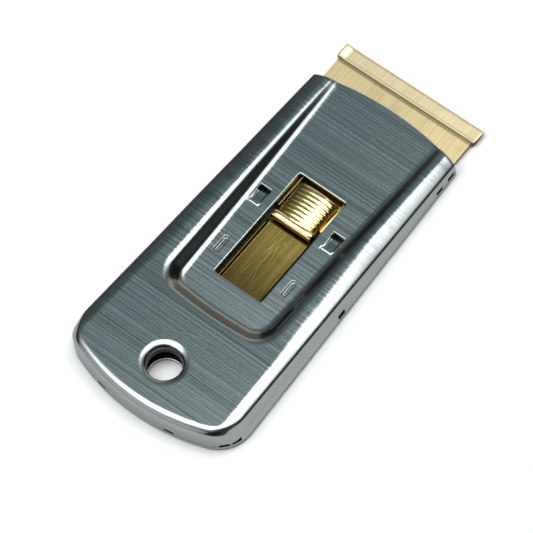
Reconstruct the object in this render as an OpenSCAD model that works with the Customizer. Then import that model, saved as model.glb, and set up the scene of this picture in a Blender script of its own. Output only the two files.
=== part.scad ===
// Pocket razor blade scraper: a pressed steel housing, a brass blade carrier that slides in it,
// a sprung thumb button and a single-edged blade, stored with its cutting edge inside.
// X is across the blade, Y points from the hang hole to the blade, Z is up from the base.

/* [Blade] */
// Width of the folded spine, end to end
spine_w = 39; // [34:0.5:46]
// Depth of the spine, front to back
spine_depth = 4; // [3:0.1:5]
// Thickness of the spine over its fold
spine_t = 1; // [0.8:0.05:1.2]
// Thickness of the blade's steel
blade_t = 0.25; // [0.2:0.01:0.3]
// Depth of the blade, from spine to cutting edge
blade_depth = 19; // [17:0.5:22]
// How much shorter the blade is than its spine, at each end
blade_inset = 0.65; // [0.5:0.05:1]
// Width of the ground bevel behind the cutting edge
bevel_w = 1.4; // [0.8:0.1:2.5]
// Thickness left at the cutting edge
edge_t = 0.03; // [0.02:0.01:0.06]
// How far the spine stands out of the housing's mouth
blade_out = 12; // [10:0.5:14]

/* [Housing] */
// Length of the housing, from the mouth's corners to the rear end
housing_len = 90.5; // [86:0.5:110]
// How much wider the housing is at the rear corners than at the mouth
rear_flare = 6.4; // [2:0.2:10]
// How far the mouth's edge bows forward at its middle
front_bow = 2.9; // [1:0.1:5]
// Radius of the rear edge, seen from above
rear_edge_r = 52; // [40:1:90]
// Radius of the rear corners, seen from above
corner_r = 9; // [7:0.5:12]
// Height of the rim at the mouth
front_h = 4.2; // [4.1:0.1:6]
// Height of the rim at the rear end
rear_h = 7.7; // [7:0.1:10]
// Width of the rounded outer edge
edge_w = 3.6; // [2.5:0.1:3.7]
// Drop of the rounded outer edge at the mouth
edge_front_drop = 2.2; // [1.5:0.1:2.4]
// Drop of the rounded outer edge at the rear end
edge_rear_drop = 4; // [2.5:0.1:5]
// Thickness of the shell's sheet
sheet_t = 0.8; // [0.6:0.05:0.9]

/* [Recess] */
// Height of the sunken panel's top face
panel_z = 3.9; // [3.8:0.05:4.1]
// Width across the recess's lips at the mouth
lip_front_w = 33; // [30:0.5:33]
// Width across the lips at the rear of the recess
lip_rear_w = 32; // [29:0.5:34]
// Width of the flat panel at the mouth
foot_front_w = 27; // [25.5:0.5:29]
// Width of the flat panel at the rear of the recess
foot_rear_w = 23; // [22:0.5:26]
// Distance from the housing's rear end to the recess's rear lip
rear_land = 26.8; // [24:0.1:30]
// Run of the recess's rear wall, from its lip to the panel
rear_wall_run = 3.5; // [2.5:0.1:5]
// How far the recess's rear edge bows backward at its middle
recess_bow = 0.4; // [0.2:0.1:1]
// Radius of the lip's rear corners
lip_corner_r = 6.4; // [5:0.2:9]
// Radius of the panel's rear corners
foot_corner_r = 3.4; // [2.5:0.1:4.5]

/* [Window and pressings] */
// Width of the thumb window
window_w = 13.1; // [11:0.1:14]
// Length of the thumb window, as a share of the panel's length
window_len_share = 0.5165; // [0.48:0.0005:0.55]
// Place of the window's front edge, as a share of the panel's length from the mouth
window_front_share = 0.3705; // [0.35:0.0005:0.39]
// Width of each lanced stop tab
tab_w = 3; // [2:0.1:3.4]
// Length of each stop tab's opening
tab_len = 5.1; // [4:0.1:6]
// Distance between the two tabs' inner edges
tab_spacing = 17.7; // [16:0.1:18]
// Place of the tabs' openings, as a share of the panel's length from the mouth
tab_front_share = 0.4935; // [0.46:0.0005:0.53]
// How far a tab is pressed down
tab_drop = 1.2; // [1:0.05:1.3]
// Open slot ahead of a tab's free end
tab_slot = 1.5; // [1:0.1:2]
// Width of each rear dimple
dimple_w = 1.65; // [1.2:0.05:2]
// Length of each rear dimple
dimple_len = 4.9; // [4:0.1:6]
// Distance between the two dimples' middles
dimple_spacing = 19; // [18:0.1:19.5]
// Place of the dimples' front ends, as a share of the panel's length from the mouth
dimple_front_share = 0.741; // [0.71:0.001:0.79]
// Depth of the dimples
dimple_depth = 0.45; // [0.2:0.05:0.5]

/* [Hang hole] */
// Diameter of the hang hole
hole_d = 8; // [6:0.1:9]
// Distance from the housing's rear end to the hole's middle
hole_inset = 11.6; // [10:0.1:13]
// Rounding where the sheet is drawn down into the hole
hole_flare_r = 0.9; // [0.5:0.05:1.2]
// Depth to which the sheet is drawn down
collar_h = 2.2; // [1.6:0.1:3]

/* [Base plate] */
// Thickness of the base plate
base_t = 0.7; // [0.5:0.05:0.8]
// Height of the base plate's upturned edge
base_rim_h = 1.5; // [1.2:0.1:1.7]
// Length of the crimp slots along the seam
crimp_len = 2.2; // [1.5:0.1:3]
// Height of the crimp slots
crimp_h = 0.6; // [0.4:0.05:0.8]

/* [Carrier] */
// Thickness of the carrier's brass sheet
carrier_t = 0.5; // [0.4:0.05:0.55]
// Width of the stem that shows in the window
stem_w = 12.4; // [10:0.1:13]
// How far the stem reaches past the window's rear edge
stem_past = 2.2; // [1:0.1:2.5]
// Radius of the stem's rear corners
stem_corner_r = 1.5; // [0.5:0.1:2.5]
// Height of the stem's upturned edges
stem_rim_h = 0.6; // [0.3:0.05:0.8]
// Thickness of the stem's upturned edges
stem_rim_t = 0.4; // [0.2:0.05:0.6]
// Radius where the stem widens into the platform
neck_r = 3; // [1:0.1:4]
// Length of the folded clips that hold the blade's ends
clip_len = 4; // [2:0.1:4.5]
// How far each clip reaches over the blade
clip_reach = 1.5; // [0.8:0.1:2.5]
// Thickness of the clips' folded sheet
clip_t = 0.35; // [0.25:0.05:0.4]
// Height of the stop lugs above the carrier
lug_h = 1.15; // [0.9:0.05:1.3]

/* [Thumb button] */
// Thickness of the leaf's brass sheet
leaf_t = 0.4; // [0.3:0.05:0.45]
// Length of the ribbed button
button_len = 11; // [9:0.1:13]
// Width of the ribbed button's dome
button_w = 11; // [8:0.1:11.4]
// How far the dome stands above the panel
button_proud = 0.75; // [0.2:0.05:1.5]
// Width of the leaf, which runs under the panel beside the window
leaf_w = 13.5; // [12:0.1:14]
// Number of ribs
rib_count = 8; // [5:1:12]
// Height of a rib
rib_h = 0.35; // [0.1:0.05:0.5]
// Lift of the leaf above the carrier at the button
leaf_lift = 1.1; // [0.9:0.05:1.2]
// Diameter of the leaf's two rivets
rivet_d = 1.6; // [1.2:0.1:2]
// Diameter of the rivets' heads
rivet_head_d = 2.6; // [2.2:0.1:3]
// Height of the rivets' heads
rivet_head_h = 0.5; // [0.3:0.05:0.6]
// Distance between the rivets
rivet_spacing = 7; // [5:0.1:8]
// Free space between the cutting edge and the leaf
edge_guard = 2; // [1.5:0.1:3]

/* [Hidden] */
$fn = 64;

// Clearances, and one overrun for every cut
slide_gap = 0.05;
seat_gap = 0.02;
spine_gap = 0.1;
mouth_gap = 0.3;
clip_gap = 0.06;
rivet_gap = 0.08;
button_front_gap = 1.3;
button_rear_gap = 0.4;
stem_rim_gap = 0.5;
stop_gap = 0.2;
tab_gap = 0.1;
crimp_gap = 0.1;
overrun = 1;

// Widths and places along Y
front_w = spine_w + 2 * (mouth_gap + sheet_t);
mouth_y = (housing_len - blade_out) / 2;
rear_y = mouth_y - housing_len;
blade_w = spine_w - 2 * blade_inset;
spine_front_y = mouth_y + blade_out;
spine_rear_y = spine_front_y - spine_depth;
blade_edge_y = spine_front_y - blade_depth;
lip_len = housing_len - rear_land;
foot_len = lip_len - rear_wall_run;
window_len = foot_len * window_len_share;
window_front_y = mouth_y - foot_len * window_front_share;
window_rear_y = window_front_y - window_len;
tab_front_y = mouth_y - foot_len * tab_front_share;
tab_root_y = tab_front_y - tab_len;
tab_free_y = tab_front_y - tab_slot;
dimple_front_y = mouth_y - foot_len * dimple_front_share;
travel = window_len - button_front_gap - button_len - button_rear_gap;
platform_rear_y = tab_free_y + travel + stop_gap;
stem_rear_y = window_rear_y - stem_past;
button_front_y = window_front_y - button_front_gap;
button_rear_y = button_front_y - button_len;
hole_y = rear_y + hole_inset;
hole_r = hole_d / 2;

// Heights
panel_under_z = panel_z - sheet_t;
carrier_z = base_t + slide_gap;
carrier_top = carrier_z + carrier_t;
blade_z = carrier_top + seat_gap;
blade_top = blade_z + blade_t;
spine_z = blade_z + blade_t / 2 - spine_t / 2;
rim_slope_share = (rear_h - front_h) / housing_len;
function rim_z(y) = front_h + rim_slope_share * (mouth_y - y);
function edge_drop(y) = edge_front_drop + (edge_rear_drop - edge_front_drop) * (mouth_y - y) / housing_len;

// Facets along each stretch of the shell, and along its profile
side_steps = 5;
corner_steps = 10;
rear_steps = 4;
round_steps = 7;
lip_steps = 9;
front_steps = 12;
// The lip bends more gently than the foot of its wall
lip_bend_share = 1.35;
// Sideways shift of the lip's underside, as a share of the sheet
under_shift_share = 0.4;

// The housing's outline seen from above: a bowed mouth, flaring sides, round corners and a bowed rear edge
front_r = (pow(front_w / 2, 2) + pow(front_bow, 2)) / (2 * front_bow);
function front_y(x) = mouth_y + front_bow - front_r + sqrt(pow(front_r, 2) - pow(x, 2));
flare_angle = atan2(rear_flare / 2, housing_len - corner_r);
side_dir = [sin(flare_angle), -cos(flare_angle)];
side_in = [-cos(flare_angle), -sin(flare_angle)];
side_start = [front_w / 2, mouth_y];
rear_center = [0, rear_y + rear_edge_r];
corner_seek = side_start + corner_r * side_in - rear_center;
corner_along = corner_seek * side_dir;
corner_reach = pow(rear_edge_r - corner_r, 2) - corner_seek * corner_seek;
corner_shift = sqrt(pow(corner_along, 2) + corner_reach) - corner_along;
corner_center = side_start + corner_r * side_in + corner_shift * side_dir;
corner_turn = atan2(corner_center.y - rear_center.y, corner_center.x);

function arc(center, r, from, to, steps) =
    [for (i = [0:steps]) let (turn = from + (to - from) * i / steps) center + r * [cos(turn), sin(turn)]];
function line(a, b, steps) = [for (i = [0:steps - 1]) a + (b - a) * i / steps];
// A half curve on the right, from the mouth to the middle of the rear, completed on the left
function mirrored(half) = concat(half, [for (i = [len(half) - 2:-1:0]) [-half[i].x, half[i].y]]);
function without_first(list) = [for (i = [1:len(list) - 1]) list[i]];

// The outline, moved inwards by a distance
function outline(inset) =
    let (corner = arc(corner_center, corner_r - inset, flare_angle, corner_turn, corner_steps))
    let (rear = arc(rear_center, rear_edge_r - inset, corner_turn, -90, rear_steps))
    let (start_x = front_w / 2 - inset)
    mirrored(concat(line([start_x, front_y(start_x)], corner[0], side_steps), corner, without_first(rear)));

// A U-shaped line of the recess: lip or foot
function recess_line(start_w, end_w, length, r, out) =
    let (end_x = end_w / 2 + out, end_y = mouth_y - length - out, turn_r = r + out)
    let (start_x = start_w / 2 + out)
    let (corner = arc([end_x - turn_r, end_y + turn_r], turn_r, 0, -90, corner_steps))
    let (turn_x = end_x - turn_r)
    let (rear = [for (i = [1:rear_steps]) let (x = turn_x * (1 - i / rear_steps))
        [x, end_y - recess_bow * (1 - pow(x / turn_x, 2))]])
    let (start = [start_x, front_y(start_x)])
    mirrored(concat(line(start, corner[0], side_steps), corner, rear));

// One skin of the shell, as a list of profiles from the seam up and over to the panel
function skin(t) =
    let (lip = recess_line(lip_front_w, lip_rear_w, lip_len, lip_corner_r, under_shift_share * t))
    let (foot = recess_line(foot_front_w, foot_rear_w, foot_len, foot_corner_r, under_shift_share * t))
    let (rings = [for (j = [0:round_steps]) outline(t + (edge_w - t) * (1 - cos(90 * j / round_steps)))])
    [for (k = [0:len(lip) - 1]) concat(
        [[rings[0][k].x, rings[0][k].y, base_rim_h]],
        [for (j = [0:round_steps]) let (p = rings[j][k], fall = edge_drop(p.y) - t)
            [p.x, p.y, rim_z(p.y) - t - fall * (1 - sin(90 * j / round_steps))]],
        [for (j = [0:lip_steps]) let (p = lip[k] + (foot[k] - lip[k]) * j / lip_steps)
            let (sunk = (1 - cos(180 * pow(j / lip_steps, lip_bend_share))) / 2)
            [p.x, p.y, rim_z(p.y) * (1 - sunk) + panel_z * sunk - t]]
    )];

// The panel's front edge, from right to left, between the feet of the walls
function panel_front(t) =
    let (end_x = foot_front_w / 2 + under_shift_share * t)
    [for (i = [1:front_steps - 1]) let (x = end_x * (1 - 2 * i / front_steps)) [x, front_y(x), panel_z - t]];

function flat(lists) = [for (list = lists) each list];

// The pressed sheet: two skins a sheet apart, joined along the seam and round the mouth
module pressed_sheet() {
    outer = skin(0);
    inner = skin(sheet_t);
    rows = len(outer);
    cols = len(outer[0]);
    half = rows * cols;
    bend = 2 * half;
    edge_count = front_steps - 1;
    points = concat(flat(outer), flat(inner), panel_front(0), panel_front(sheet_t));
    grid = [for (k = [0:rows - 2], j = [0:cols - 2]) [k * cols + j, k * cols + j + 1, (k + 1) * cols + j + 1,
        (k + 1) * cols + j]];
    outer_faces = [for (q = grid, tri = [[q[2], q[1], q[0]], [q[3], q[2], q[0]]]) tri];
    inner_faces = [for (f = outer_faces) [f[2] + half, f[1] + half, f[0] + half]];
    feet = [for (k = [0:rows - 1]) k * cols + cols - 1];
    front_out = [for (i = [0:edge_count - 1]) bend + i];
    front_row = concat([feet[0]], front_out, [feet[rows - 1]]);
    last = (rows - 1) / 2;
    panel_top = concat(
        [for (i = [1:len(front_row) - 2]) [front_row[i + 1], front_row[i], front_row[0]]],
        [for (k = [0:last - 1]) [feet[rows - 1 - k], feet[k], feet[k + 1]]],
        [for (k = [0:last - 2]) [feet[rows - 2 - k], feet[rows - 1 - k], feet[k + 1]]]);
    panel_bottom = [for (f = panel_top) [for (i = [2:-1:0]) f[i] < half ? f[i] + half : f[i] + edge_count]];
    right_end = [for (j = [0:cols - 1]) j];
    left_end = [for (j = [cols - 1:-1:0]) (rows - 1) * cols + j];
    mouth_out = concat(right_end, front_out, left_end);
    mouth_in = [for (i = mouth_out) i < half ? i + half : i + edge_count];
    mouth_faces = [for (i = [0:len(mouth_out) - 2]) each [
        [mouth_in[i], mouth_out[i], mouth_out[i + 1]], [mouth_in[i + 1], mouth_in[i], mouth_out[i + 1]]]];
    seam_faces = [for (k = [0:rows - 2]) each [
        [(k + 1) * cols + half, (k + 1) * cols, k * cols], [k * cols + half, (k + 1) * cols + half, k * cols]]];
    polyhedron(points, concat(outer_faces, inner_faces, panel_top, panel_bottom, mouth_faces, seam_faces));
}

// A rectangle with its place given by its two corners
module block(low, high) {
    translate(low) cube(high - low);
}

// Slots along the seam sit at these places: a point on the outline, and the way it faces.
// Those at the rear and the corners have a crimped tab behind them.
rear_crimp_angle = 10.5;
corner_crimp_shares = [0.35, 0.62];
side_slot_shares = [0.0204, 0.0691, 0.489];
function on_side(point, turn, side) = [[side * point.x, point.y], side > 0 ? turn : 180 - turn];
crimps = [for (side = [-1, 1]) each concat(
    [[rear_center + rear_edge_r * [side * sin(rear_crimp_angle), -cos(rear_crimp_angle)],
        -90 + side * rear_crimp_angle]],
    [for (share = corner_crimp_shares) let (turn = flare_angle + (corner_turn - flare_angle) * share)
        on_side(corner_center + corner_r * [cos(turn), sin(turn)], turn, side)])];
side_slots = [for (side = [-1, 1], share = side_slot_shares)
    on_side(side_start + share * housing_len * side_dir, flare_angle, side)];

// A box on the outline: from one depth to another inwards, and centred along the seam
module at_crimp(place, from, to, length, low, high) {
    translate([place[0].x, place[0].y, 0])
        rotate([0, 0, place[1]])
        block([-to, -length / 2, low], [-from, length / 2, high]);
}

// A tongue lanced from the panel, bent down towards its free end
tab_bend_share = 0.5;
module stop_tab() {
    bend_y = tab_root_y + (tab_free_y - tab_root_y) * tab_bend_share;
    low_z = panel_z - tab_drop;
    under_z = low_z - sheet_t;
    top = [[tab_root_y - tab_gap, panel_z], [tab_root_y, panel_z], [bend_y, low_z], [tab_free_y, low_z]];
    under = [[tab_free_y, under_z], [bend_y - tab_gap, under_z], [tab_root_y - tab_gap, panel_under_z]];
    translate([tab_spacing / 2 + tab_gap, 0, 0])
        rotate([90, 0, 90])
        linear_extrude(tab_w - 2 * tab_gap) polygon(concat(top, under));
}

module stadium(w, length, h) {
    translate([0, -w / 2, 0]) cylinder(d = w, h = h);
    translate([0, -length + w / 2, 0]) cylinder(d = w, h = h);
    block([-w / 2, -length + w / 2, 0], [w / 2, -w / 2, h]);
}

// A dimple pressed into the panel: a hollow above and the same swelling below
module dimple(z, grow) {
    translate([dimple_spacing / 2, dimple_front_y + grow / 2, z])
        stadium(dimple_w + grow, dimple_len + grow, dimple_depth + overrun);
}

// Both sides, left and right
module both_sides() {
    children();
    mirror([1, 0, 0]) children();
}

// The rounding of the hang hole's edge, square to the sloping rim; it runs into the bore at a slight angle
flare_steps = 8;
flare_cross_share = 0.06;
module hole_flare() {
    start_r = hole_r - hole_flare_r * flare_cross_share;
    top = [for (i = [0:flare_steps]) [start_r + hole_flare_r * (1 - cos(90 * i / flare_steps)),
        -hole_flare_r * (1 - sin(90 * i / flare_steps))]];
    translate([0, hole_y, rim_z(hole_y)])
        rotate([-atan(rim_slope_share), 0, 0])
        rotate_extrude()
        polygon(concat([[0, -hole_flare_r]], top, [[start_r + hole_flare_r, overrun], [0, overrun]]));
}

module top_shell() {
    swell_z = panel_under_z - dimple_depth;
    tab_x = tab_spacing / 2;
    color("#8d9aa0") {
        difference() {
            union() {
                pressed_sheet();
                translate([0, hole_y, rim_z(hole_y) - collar_h])
                    cylinder(r = hole_r + sheet_t, h = collar_h - sheet_t / 2);
                both_sides() intersection() {
                    dimple(swell_z, sheet_t / 2);
                    block([0, rear_y, swell_z], [front_w, mouth_y, panel_under_z + sheet_t / 2]);
                }
            }
            block([-window_w / 2, window_rear_y, 0], [window_w / 2, window_front_y, rear_h]);
            both_sides() block([tab_x, tab_root_y, 0], [tab_x + tab_w, tab_front_y, rear_h]);
            both_sides() dimple(panel_z - dimple_depth, 0);
            translate([0, hole_y, 0]) cylinder(r = hole_r, h = rear_h + overrun);
            hole_flare();
            for (place = concat(crimps, side_slots))
                at_crimp(place, -overrun, sheet_t + overrun, crimp_len, 0, base_rim_h + crimp_h);
        }
        both_sides() stop_tab();
    }
}

// The plate's outline with the mouth's bowed edge
module plate_outline(inset, forward) {
    edge = outline(inset);
    end_x = front_w / 2 - inset;
    shares = [for (i = [1:front_steps - 1]) i / front_steps];
    bow = [for (share = shares) let (x = end_x * (2 * share - 1)) [x, front_y(x) + forward]];
    ends = [[edge[len(edge) - 1].x, front_y(end_x) + forward], [edge[0].x, front_y(end_x) + forward]];
    polygon(concat(edge, [ends[0]], bow, [ends[1]]));
}

module base_plate() {
    color("#a9b1b4") difference() {
        union() {
            linear_extrude(base_t) plate_outline(0, 0);
            linear_extrude(base_rim_h) difference() {
                plate_outline(0, 0);
                plate_outline(sheet_t, overrun);
            }
            for (place = crimps)
                at_crimp(place, sheet_t + crimp_gap, 2 * sheet_t, crimp_len, 0, base_rim_h + 2 * crimp_h);
        }
        translate([0, hole_y, -overrun]) cylinder(r = hole_r, h = base_t + 2 * overrun);
    }
}

// Places on the carrier
platform_w = blade_w + 2 * (clip_gap + clip_t);
platform_front_y = spine_rear_y - spine_gap;
pad_len = rivet_head_d;
rivet_y = blade_edge_y - edge_guard - pad_len / 2;
// Share of a clip's length that lies over the blade's bevel
clip_bevel_share = 0.25;

module stem_end() {
    for (side = [-1, 1])
        translate([side * (stem_w / 2 - stem_corner_r), stem_rear_y + stem_corner_r]) circle(stem_corner_r);
    translate([-stem_w / 2 + stem_corner_r, stem_rear_y]) square([stem_w - 2 * stem_corner_r, stem_corner_r]);
    translate([-stem_w / 2, stem_rear_y + stem_corner_r])
        square([stem_w, platform_rear_y - stem_rear_y]);
}

module neck_fillet() {
    difference() {
        translate([stem_w / 2, platform_rear_y - neck_r]) square([neck_r, neck_r + overrun]);
        translate([stem_w / 2 + neck_r, platform_rear_y - neck_r]) circle(neck_r);
    }
}

// A clip folded up and over the end of the blade
module blade_clip() {
    clip_rear_y = blade_edge_y + bevel_w - clip_len * clip_bevel_share;
    roof_z = blade_top + clip_gap;
    wall_x = platform_w / 2 - clip_t;
    far_corner = [platform_w / 2, clip_rear_y + clip_len, roof_z + clip_t];
    block([wall_x, clip_rear_y, carrier_z], far_corner);
    block([wall_x - clip_reach, clip_rear_y, roof_z], far_corner);
}

module blade_carrier() {
    color("#b99a45") difference() {
        union() {
            translate([0, 0, carrier_z]) linear_extrude(carrier_t) {
                translate([-platform_w / 2, platform_rear_y])
                    square([platform_w, platform_front_y - platform_rear_y]);
                stem_end();
                neck_fillet();
                mirror([1, 0]) neck_fillet();
            }
            both_sides() blade_clip();
            both_sides() block([stem_w / 2 - stem_rim_t, stem_rear_y + stem_corner_r, carrier_z],
                [stem_w / 2, button_rear_y - stem_rim_gap, carrier_top + stem_rim_h]);
            both_sides() block([tab_spacing / 2 + tab_gap, platform_rear_y, carrier_z],
                [tab_spacing / 2 + tab_w - tab_gap, platform_rear_y + carrier_t, carrier_top + lug_h]);
        }
        both_sides() translate([rivet_spacing / 2, rivet_y, 0]) cylinder(d = rivet_d, h = panel_z);
    }
}

// Places on the leaf
pad_z = carrier_top + rivet_gap;
shelf_z = carrier_top + leaf_lift;
shelf_top = shelf_z + leaf_t;
button_rise = panel_z + button_proud - shelf_top;
dome_r = (pow(button_w / 2, 2) + pow(button_rise, 2)) / (2 * button_rise);
// The dome runs down into the leaf, past the width at which it meets the leaf's face
dome_sink_angle = 3;
dome_angle = asin(button_w / 2 / dome_r) + dome_sink_angle;
rib_steps = 6;
curl_steps = 6;
// Shares of the button taken by its rounded rear and front ends, and by its side flanges
rear_curl_share = 0.15;
front_curl_share = 0.05;
flange_share = 0.68;

// Radius of the dome's outside along the button, from its front end: ribs, then the curl
function end_fall(share, end_share) = share < end_share ? 1 - sqrt(1 - pow(1 - share / end_share, 2)) : 0;
function dome_out(share) =
    let (fall = max(end_fall(share, front_curl_share), end_fall(1 - share, rear_curl_share)))
    let (along = (share - front_curl_share) / (1 - front_curl_share - rear_curl_share))
    let (rib = along > 0 && along < 1 ? rib_h * abs(sin(180 * rib_count * along)) : 0)
    dome_r - rib_h + rib - (button_rise - leaf_t / 2) * fall;

module ribbed_dome() {
    steps = rib_count * rib_steps + 2 * curl_steps;
    shares = [for (i = [0:steps]) i / steps];
    outside = [for (s = shares) [dome_out(s), s * button_len]];
    inside = [for (i = [steps:-1:0]) [dome_r - rib_h - leaf_t - (dome_r - outside[i].x > rib_h
        ? dome_r - rib_h - outside[i].x : 0), outside[i].y]];
    translate([0, button_front_y, shelf_top + button_rise - dome_r])
        rotate([90, 0, 0])
        rotate([0, 0, 90 - dome_angle])
        rotate_extrude(angle = 2 * dome_angle) polygon(concat(outside, inside));
}

module thumb_button() {
    ramp_y = rivet_y - pad_len / 2;
    flange_y = button_front_y - button_len * flange_share;
    inner_x = button_w / 2 - leaf_t;
    pad_front_y = rivet_y + pad_len / 2;
    under = [[pad_front_y, pad_z], [ramp_y, pad_z], [window_front_y, shelf_z], [button_rear_y, shelf_z]];
    leaf = concat(under, [for (i = [len(under) - 1:-1:0]) under[i] + [0, leaf_t]]);
    color("#e3c878") {
        difference() {
            translate([-leaf_w / 2, 0, 0]) rotate([90, 0, 90]) linear_extrude(leaf_w) polygon(leaf);
            block([-inner_x, button_rear_y + leaf_t, 0], [inner_x, button_front_y, panel_z]);
            both_sides() block([button_w / 2 + leaf_t, button_rear_y - overrun, 0], [leaf_w, flange_y, panel_z]);
            both_sides() translate([rivet_spacing / 2, rivet_y, 0])
                cylinder(r = rivet_d / 2 + rivet_gap, h = panel_z);
        }
        intersection() {
            ribbed_dome();
            block([-leaf_w / 2, button_rear_y, shelf_z], [leaf_w / 2, button_front_y, rear_h]);
        }
    }
}

module leaf_rivets() {
    head_z = pad_z + leaf_t + rivet_gap;
    shank_h = head_z - carrier_z + rivet_head_h / 2;
    color("#d7bd6c") both_sides() translate([rivet_spacing / 2, rivet_y, 0]) {
        translate([0, 0, carrier_z]) cylinder(r = rivet_d / 2 - seat_gap, h = shank_h);
        translate([0, 0, head_z]) cylinder(d = rivet_head_d, h = rivet_head_h);
    }
}

module razor_blade() {
    fold_y = spine_front_y - spine_t / 2;
    mid_z = blade_z + blade_t / 2;
    bevel_y = blade_edge_y + bevel_w;
    back = [[bevel_y, blade_z], [fold_y, blade_z], [fold_y, blade_top], [bevel_y, blade_top]];
    edge = [[blade_edge_y, mid_z + edge_t / 2], [blade_edge_y, mid_z - edge_t / 2]];
    color("#d9cfa4")
        translate([-blade_w / 2, 0, 0]) rotate([90, 0, 90]) linear_extrude(blade_w) polygon(concat(back, edge));
}

// A strip folded over the blade's back
module blade_spine() {
    bend_r = spine_t / 2;
    color("#e6d79a")
        translate([-spine_w / 2, 0, 0]) rotate([90, 0, 90]) linear_extrude(spine_w) difference() {
            union() {
                translate([spine_rear_y, spine_z]) square([spine_depth - bend_r, spine_t]);
                translate([spine_front_y - bend_r, spine_z + bend_r]) circle(bend_r);
            }
            translate([spine_rear_y - overrun, blade_z - seat_gap])
                square([spine_depth - bend_r + overrun + seat_gap, blade_t + 2 * seat_gap]);
        }
}

top_shell();
base_plate();
blade_carrier();
thumb_button();
leaf_rivets();
razor_blade();
blade_spine();
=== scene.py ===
# %% [markdown]
# # A pocket razor blade scraper, dressed for its portrait
#
# The packed model is the fixed frame: every piece below is built in millimetres in the same
# frame (X across the blade, Y towards the blade, Z up from the base) and turned into metres
# when its mesh is made. All the pieces are sheet metal, so one idea carries the lesson: draw
# the outer face of a sheet, then give it a thickness and rolled edges.

# %% Load the frame
import math

import bmesh
import bpy
import numpy as np
from mathutils import Matrix, Vector
from mathutils.geometry import delaunay_2d_cdt


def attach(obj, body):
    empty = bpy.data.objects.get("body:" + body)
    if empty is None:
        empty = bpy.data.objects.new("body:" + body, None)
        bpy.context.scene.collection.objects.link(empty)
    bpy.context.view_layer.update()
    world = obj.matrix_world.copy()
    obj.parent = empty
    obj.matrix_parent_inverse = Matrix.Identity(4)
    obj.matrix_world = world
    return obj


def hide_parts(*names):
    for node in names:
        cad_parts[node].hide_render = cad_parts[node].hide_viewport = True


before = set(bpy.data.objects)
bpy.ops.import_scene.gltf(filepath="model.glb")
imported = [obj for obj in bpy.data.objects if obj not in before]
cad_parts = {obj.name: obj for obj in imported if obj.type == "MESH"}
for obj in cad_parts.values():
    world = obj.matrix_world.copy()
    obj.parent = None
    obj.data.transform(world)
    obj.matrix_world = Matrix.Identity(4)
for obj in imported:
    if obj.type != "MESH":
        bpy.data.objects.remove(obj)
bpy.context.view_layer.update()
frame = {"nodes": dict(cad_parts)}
scene = bpy.context.scene
print("frame:", ", ".join(frame["nodes"]))

# %% [markdown]
# ## The camera
#
# The photograph looks down on the tool through a long lens, so parallel edges stay nearly
# parallel. A camera can be turned by hand until it looks right. This one was fitted to
# corners whose real places are known, so that other lengths could be read off as well.

# %% Camera
IMAGE_PX, FOCAL_PX, SENSOR_MM = 533, 3611.53, 36
AZIMUTH, ELEVATION, ROLL = (math.radians(a) for a in (42.58, 62.1, -5.0))
TARGET, AWAY = Vector((0.0, -5.75, 6.9)), Vector((1.4, -2.95, 800.0))

facing = (Matrix.Rotation(AZIMUTH, 4, "Z") @ Matrix.Rotation(math.pi / 2 - ELEVATION, 4, "X")
          @ Matrix.Rotation(ROLL, 4, "Z"))
camera = bpy.data.objects.new("camera", bpy.data.cameras.new("camera"))
camera.data.sensor_width = SENSOR_MM
camera.data.lens = FOCAL_PX * SENSOR_MM / IMAGE_PX
camera.data.clip_start, camera.data.clip_end = 0.05, 20
camera.matrix_world = Matrix.Translation(TARGET / 1000) @ facing @ Matrix.Translation(AWAY / 1000)
scene.collection.objects.link(camera)
scene.camera = camera
print("camera:", [round(c, 4) for c in camera.matrix_world.translation], "lens", round(camera.data.lens, 1))

# %% [markdown]
# ## Plan curves and the rim
#
# Seen from above, the housing is a bowed mouth, two flaring sides, round corners and a bowed
# rear edge. Curve objects could draw these lines. Functions are used instead, because each
# step needs the same line again, moved in or up. A point on the right half is named by u: 0
# to 1 along the side, 1 to 2 round the corner, 2 to 3 along half of the rear. The left half
# mirrors it, with u from 3 to 6. Lengths follow the part's source, in millimetres; only small
# forms, such as the slots, tabs and ribs, are a little higher or gentler here.

# %% Plan of the housing
MOUTH_Y, REAR_Y, HOUSING_LEN = 39.25, -51.25, 90.5
FRONT_W, REAR_FLARE, FRONT_BOW = 41.2, 6.4, 2.9
CORNER_R, REAR_EDGE_R = 9.0, 52.0
FRONT_R = ((FRONT_W / 2) ** 2 + FRONT_BOW ** 2) / (2 * FRONT_BOW)
FLARE = math.atan2(REAR_FLARE / 2, HOUSING_LEN - CORNER_R)
SIDE_DIR = np.array([math.sin(FLARE), -math.cos(FLARE)])
SIDE_IN = np.array([-math.cos(FLARE), -math.sin(FLARE)])
SIDE_START = np.array([FRONT_W / 2, MOUTH_Y])
REAR_CENTER = np.array([0.0, REAR_Y + REAR_EDGE_R])
seek = SIDE_START + CORNER_R * SIDE_IN - REAR_CENTER
along = seek @ SIDE_DIR
shift = math.sqrt(along ** 2 + (REAR_EDGE_R - CORNER_R) ** 2 - seek @ seek) - along
CORNER_CENTER = SIDE_START + CORNER_R * SIDE_IN + shift * SIDE_DIR
CORNER_TURN = math.atan2(CORNER_CENTER[1] - REAR_CENTER[1], CORNER_CENTER[0])


def front_y(x):
    return MOUTH_Y + FRONT_BOW - FRONT_R + np.sqrt(FRONT_R ** 2 - np.asarray(x, float) ** 2)


def turned(center, r, turn):
    return center + r * np.array([math.cos(turn), math.sin(turn)])


def folded(u):
    """The mirror sign and the right half's u for a u from 0 to 6."""
    return (1, u) if u <= 3 else (-1, 6 - u)


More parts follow.
